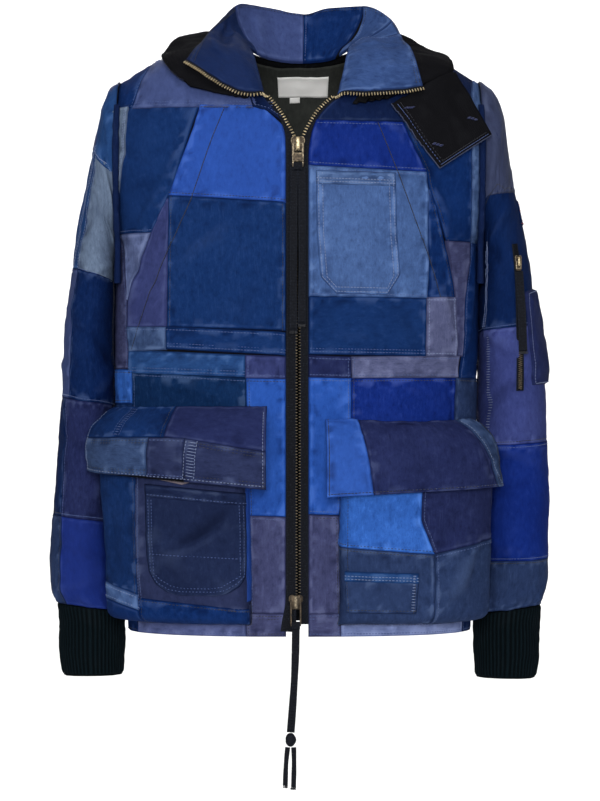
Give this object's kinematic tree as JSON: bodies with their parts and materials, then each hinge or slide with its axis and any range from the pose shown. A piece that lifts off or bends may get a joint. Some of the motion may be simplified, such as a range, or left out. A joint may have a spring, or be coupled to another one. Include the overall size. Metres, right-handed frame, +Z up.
{
  "type": "patched work jacket",
  "caption": "Hip-length patchwork jacket, filled out as when worn, with an open standing collar, rib cuffs, flapped bellows pockets and a two-way zip.",
  "frame": {"origin": "middle of the neck opening, at the height where the shoulder seams meet it, where the wearer holds the jacket up", "axes": "+Z up along the body, +X to the wearer's left, the zip faces -Y"},
  "size_m": [0.56, 0.2774, 0.8671],
  "materials": {
    "patched_cloth": "faded denim, twill and sateen patches",
    "rib_knit": "black rib knit",
    "black_wool": "black wool",
    "black_lining": "black ribbed lining",
    "white_cotton": "bare cotton with raw edges",
    "zip_tape": "black woven tape",
    "ribbon": "black grosgrain",
    "zip_metal": "aged brass"
  },
  "bodies": {
    "root": {"back": "patched_cloth", "front_right": "patched_cloth", "front_left": "patched_cloth", "sleeve_right": "patched_cloth", "sleeve_left": "patched_cloth", "cuff_right": "rib_knit", "cuff_left": "rib_knit", "collar_end_right": "patched_cloth", "collar_back": "patched_cloth", "collar_end_left": "patched_cloth", "outer_collar": "black_wool", "throat_tab": "black_wool", "facing_right": "black_lining", "facing_left": "black_lining", "back_lining": "black_lining", "neck_label": "white_cotton", "size_tab": "white_cotton", "zip_tape_right": "zip_tape", "zip_tape_left": "zip_tape", "slider_upper": "zip_metal", "slider_lower": "zip_metal", "chest_pocket": "patched_cloth", "cargo_pocket_right": "patched_cloth", "cargo_pocket_left": "patched_cloth", "patch_pocket_right": "patched_cloth", "patch_pocket_left": "patched_cloth", "cargo_flap_right": "patched_cloth", "cargo_flap_left": "patched_cloth", "sleeve_pocket": "patched_cloth", "sleeve_zip_tape": "zip_tape", "slider_sleeve": "zip_metal"},
    "upper_pull": {"pull_upper": "zip_metal", "ribbon_upper_a": "ribbon", "ribbon_upper_b": "ribbon"},
    "lower_pull": {"pull_lower": "zip_metal", "ribbon_lower": "ribbon", "knot_lower": "ribbon", "ribbon_end_a": "ribbon", "ribbon_end_b": "ribbon"},
    "sleeve_pull": {"pull_sleeve": "zip_metal", "sleeve_ribbon": "ribbon"}
  },
  "joints": [
    {"name": "upper_pull_swing", "type": "hinge", "parent": "root", "child": "upper_pull", "pos_m": [-0.0012, -0.12362, -0.104], "axis": [-1, 0, 0], "range_deg": [0, 150]},
    {"name": "lower_pull_swing", "type": "hinge", "parent": "root", "child": "lower_pull", "pos_m": [-0.0035, -0.12646, -0.598], "axis": [-1, 0, 0], "range_deg": [0, 150]},
    {"name": "sleeve_pull_swing", "type": "hinge", "parent": "root", "child": "sleeve_pull", "pos_m": [0.24072, -0.0686, -0.22868], "axis": [-0.9703, -0.2419, 0], "range_deg": [0, 120]}
  ]
}
